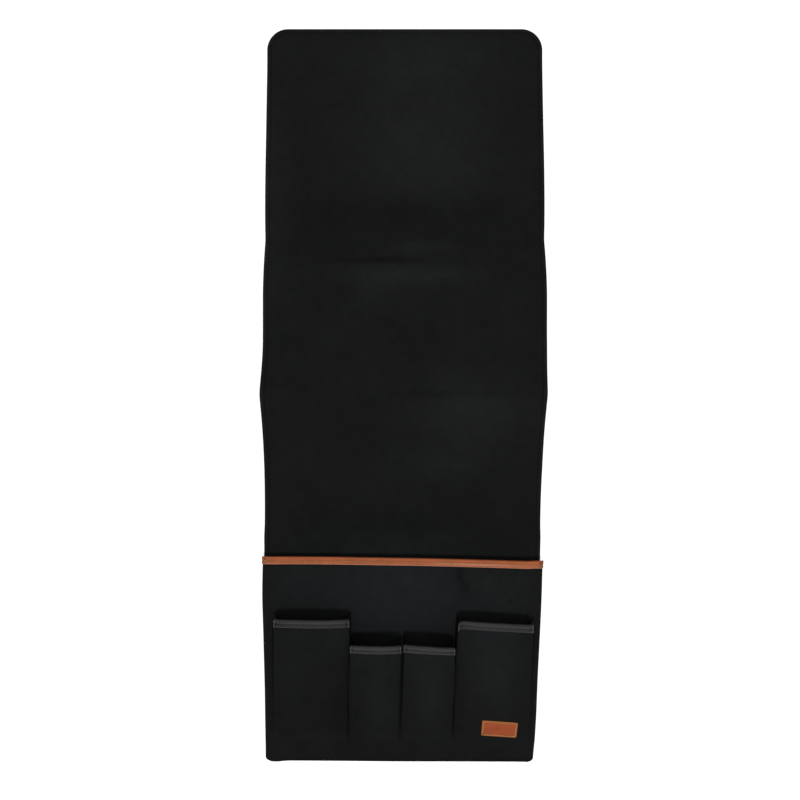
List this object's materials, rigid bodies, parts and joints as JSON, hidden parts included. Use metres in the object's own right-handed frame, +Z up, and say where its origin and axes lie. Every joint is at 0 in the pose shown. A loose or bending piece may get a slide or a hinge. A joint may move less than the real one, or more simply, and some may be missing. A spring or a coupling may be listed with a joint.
{
  "type": "sofa armrest organizer",
  "caption": "Folding fabric panel that drapes over a sofa arm, with one large pocket and small pleated pockets for remotes and books, leather-bound mouths and a flap to tuck in.",
  "frame": {"origin": "on the floor under the middle of the panel's bounding box, as it lies open", "axes": "+X to the right of the panel, +Y from the pockets to the tuck flap, +Z up, out of the pocket side"},
  "size_m": [0.34, 0.907, 0.0593],
  "materials": {
    "black_fabric": "fine matt weave",
    "grip_backing": "matt with small grip dots",
    "felt_core": "needled felt",
    "stiffener_board": "thin matt sheet",
    "tan_leather": "fine grain, soft sheen",
    "grey_leather": "fine grain, soft sheen"
  },
  "bodies": {
    "pocket_section": {"pocket_section_backing": "grip_backing", "pocket_section_board": "stiffener_board", "pocket_section_face": "black_fabric", "large_pocket_gusset_left": "black_fabric", "large_pocket_gusset_right": "black_fabric"},
    "arm_top": {"arm_top_backing": "grip_backing", "arm_top_interlining": "felt_core", "arm_top_face": "black_fabric"},
    "inner_drop": {"inner_drop_backing": "grip_backing", "inner_drop_interlining": "felt_core", "inner_drop_face": "black_fabric"},
    "tuck_flap": {"tuck_flap_backing": "grip_backing", "tuck_flap_interlining": "felt_core", "tuck_flap_face": "black_fabric"},
    "large_pocket": {"large_pocket_front": "black_fabric", "large_pocket_binding": "tan_leather", "tall_left_pocket_gusset_left": "black_fabric", "tall_left_pocket_gusset_right": "black_fabric", "short_left_pocket_gusset_left": "black_fabric", "short_left_pocket_gusset_right": "black_fabric", "short_right_pocket_gusset_left": "black_fabric", "short_right_pocket_gusset_right": "black_fabric", "tall_right_pocket_gusset_left": "black_fabric", "tall_right_pocket_gusset_right": "black_fabric"},
    "tall_left_pocket": {"tall_left_pocket_front": "black_fabric", "tall_left_pocket_binding": "grey_leather"},
    "short_left_pocket": {"short_left_pocket_front": "black_fabric", "short_left_pocket_binding": "grey_leather"},
    "short_right_pocket": {"short_right_pocket_front": "black_fabric", "short_right_pocket_binding": "grey_leather"},
    "tall_right_pocket": {"tall_right_pocket_front": "black_fabric", "tall_right_pocket_binding": "grey_leather", "pocket_label": "tan_leather"}
  },
  "joints": [
    {"name": "mouth_fold", "type": "hinge", "parent": "pocket_section", "child": "arm_top", "pos_m": [0, -0.19, 0], "axis": [-1, 0, 0], "range_deg": [0, 105]},
    {"name": "ridge_fold", "type": "hinge", "parent": "arm_top", "child": "inner_drop", "pos_m": [0, 0.0015, 0.0475], "axis": [-1, 0, 0], "range_deg": [-25, 100]},
    {"name": "valley_fold", "type": "hinge", "parent": "inner_drop", "child": "tuck_flap", "pos_m": [0, 0.19, 0.0168], "axis": [1, 0, 0], "range_deg": [-12, 100]},
    {"name": "large_pocket_mouth", "type": "hinge", "parent": "pocket_section", "child": "large_pocket", "pos_m": [0, -0.449, 0.0037], "axis": [1, 0, 0], "range_deg": [-1.5, 3.5], "deforming": ["large_pocket_gusset_left", "large_pocket_gusset_right"]},
    {"name": "tall_left_pocket_mouth", "type": "hinge", "parent": "large_pocket", "child": "tall_left_pocket", "pos_m": [-0.11, -0.424, 0.00629], "axis": [1, 0, 0], "range_deg": [-9, 2.5], "deforming": ["tall_left_pocket_gusset_left", "tall_left_pocket_gusset_right"]},
    {"name": "short_left_pocket_mouth", "type": "hinge", "parent": "large_pocket", "child": "short_left_pocket", "pos_m": [-0.032, -0.424, 0.00632], "axis": [1, 0, 0], "range_deg": [-14, 3], "deforming": ["short_left_pocket_gusset_left", "short_left_pocket_gusset_right"]},
    {"name": "short_right_pocket_mouth", "type": "hinge", "parent": "large_pocket", "child": "short_right_pocket", "pos_m": [0.032, -0.424, 0.00637], "axis": [1, 0, 0], "range_deg": [-14, 3], "deforming": ["short_right_pocket_gusset_left", "short_right_pocket_gusset_right"]},
    {"name": "tall_right_pocket_mouth", "type": "hinge", "parent": "large_pocket", "child": "tall_right_pocket", "pos_m": [0.11, -0.424, 0.00645], "axis": [1, 0, 0], "range_deg": [-9, 2.5], "deforming": ["tall_right_pocket_gusset_left", "tall_right_pocket_gusset_right"]}
  ]
}
